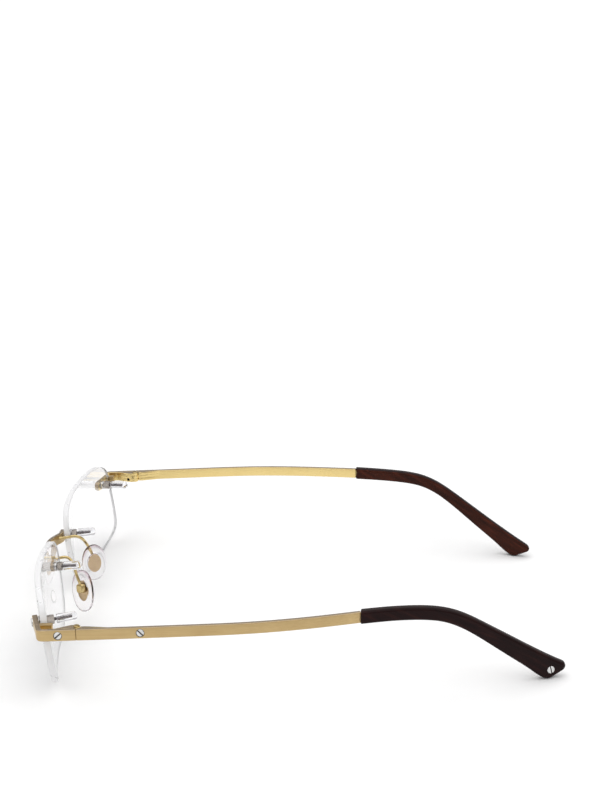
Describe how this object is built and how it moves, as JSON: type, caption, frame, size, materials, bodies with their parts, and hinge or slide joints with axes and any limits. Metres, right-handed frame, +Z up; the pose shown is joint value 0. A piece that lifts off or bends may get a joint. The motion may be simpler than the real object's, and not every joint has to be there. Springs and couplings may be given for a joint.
{
  "type": "rimless eyeglasses",
  "caption": "Rimless spectacles: clear lenses screwed to a gold bridge and end pieces, folding gold temples with brown tips, and nose pads that rock.",
  "frame": {"origin": "middle of the footprint on the table, under the whole pair with its temples open", "axes": "+Z up, the lenses face -Y, the temples run back to +Y, +X is the wearer's left"},
  "size_m": [0.1362, 0.154, 0.0282],
  "materials": {
    "satin_gold": "satin brushed gold plate, brushed along the strip",
    "satin_gold_plate": "matt gold plate",
    "polished_gold": "polished gold plate",
    "silver": "polished steel, slotted screw heads",
    "silver_nut": "bright turned steel",
    "dark_steel": "threaded steel",
    "lens": "clear, polished, with a faint coating tint",
    "clear_plastic": "clear",
    "pad_clear": "clear soft plastic",
    "brown_tip": "polished dark brown"
  },
  "bodies": {
    "front": {"bridge": "satin_gold", "end_piece_left": "satin_gold", "end_piece_right": "satin_gold", "end_screw_left": "silver", "end_screw_right": "silver", "hinge_screw_left": "polished_gold", "hinge_screw_right": "polished_gold", "lens_cap_nasal_left": "clear_plastic", "lens_cap_nasal_right": "clear_plastic", "lens_cap_temporal_left": "clear_plastic", "lens_cap_temporal_right": "clear_plastic", "lens_left": "lens", "lens_nut_nasal_left": "silver_nut", "lens_nut_nasal_right": "silver_nut", "lens_nut_temporal_left": "silver_nut", "lens_nut_temporal_right": "silver_nut", "lens_right": "lens", "lens_screw_nasal_left": "dark_steel", "lens_screw_nasal_right": "dark_steel", "lens_screw_temporal_left": "dark_steel", "lens_screw_temporal_right": "dark_steel", "lens_shoe_left": "polished_gold", "lens_shoe_right": "polished_gold", "lens_sleeve_nasal_left": "clear_plastic", "lens_sleeve_nasal_right": "clear_plastic", "lens_sleeve_temporal_left": "clear_plastic", "lens_sleeve_temporal_right": "clear_plastic", "lens_washer_nasal_left": "clear_plastic", "lens_washer_nasal_right": "clear_plastic", "lens_washer_temporal_left": "clear_plastic", "lens_washer_temporal_right": "clear_plastic", "pad_arm_left": "polished_gold", "pad_arm_right": "polished_gold", "pad_box_left": "polished_gold", "pad_box_right": "polished_gold", "pad_pin_left": "polished_gold", "pad_pin_right": "polished_gold"},
    "temple_left": {"temple_left": "satin_gold", "temple_screw_left": "silver", "temple_tip_left": "brown_tip", "tip_screw_left": "silver"},
    "temple_right": {"temple_right": "satin_gold", "temple_screw_right": "silver", "temple_tip_right": "brown_tip", "tip_screw_right": "silver"},
    "pad_left": {"nose_pad_left": "pad_clear", "pad_plate_left": "satin_gold_plate"},
    "pad_right": {"nose_pad_right": "pad_clear", "pad_plate_right": "satin_gold_plate"}
  },
  "joints": [
    {"name": "temple_left_fold", "type": "hinge", "parent": "front", "child": "temple_left", "pos_m": [0.0654, -0.05728, 0.02066], "axis": [0, -0.0489, 0.9988], "range_deg": [0, 76]},
    {"name": "temple_right_fold", "type": "hinge", "parent": "front", "child": "temple_right", "pos_m": [-0.0654, -0.05728, 0.02066], "axis": [0, 0.0489, -0.9988], "range_deg": [0, 83]},
    {"name": "pad_left_rock", "type": "hinge", "parent": "front", "child": "pad_left", "pos_m": [0.01236, -0.06462, 0.01117], "axis": [-0.4632, -0.8711, -0.1635], "range_deg": [-8, 8]},
    {"name": "pad_right_rock", "type": "hinge", "parent": "front", "child": "pad_right", "pos_m": [-0.01236, -0.06462, 0.01117], "axis": [0.4632, -0.8711, -0.1635], "range_deg": [-8, 8]}
  ]
}
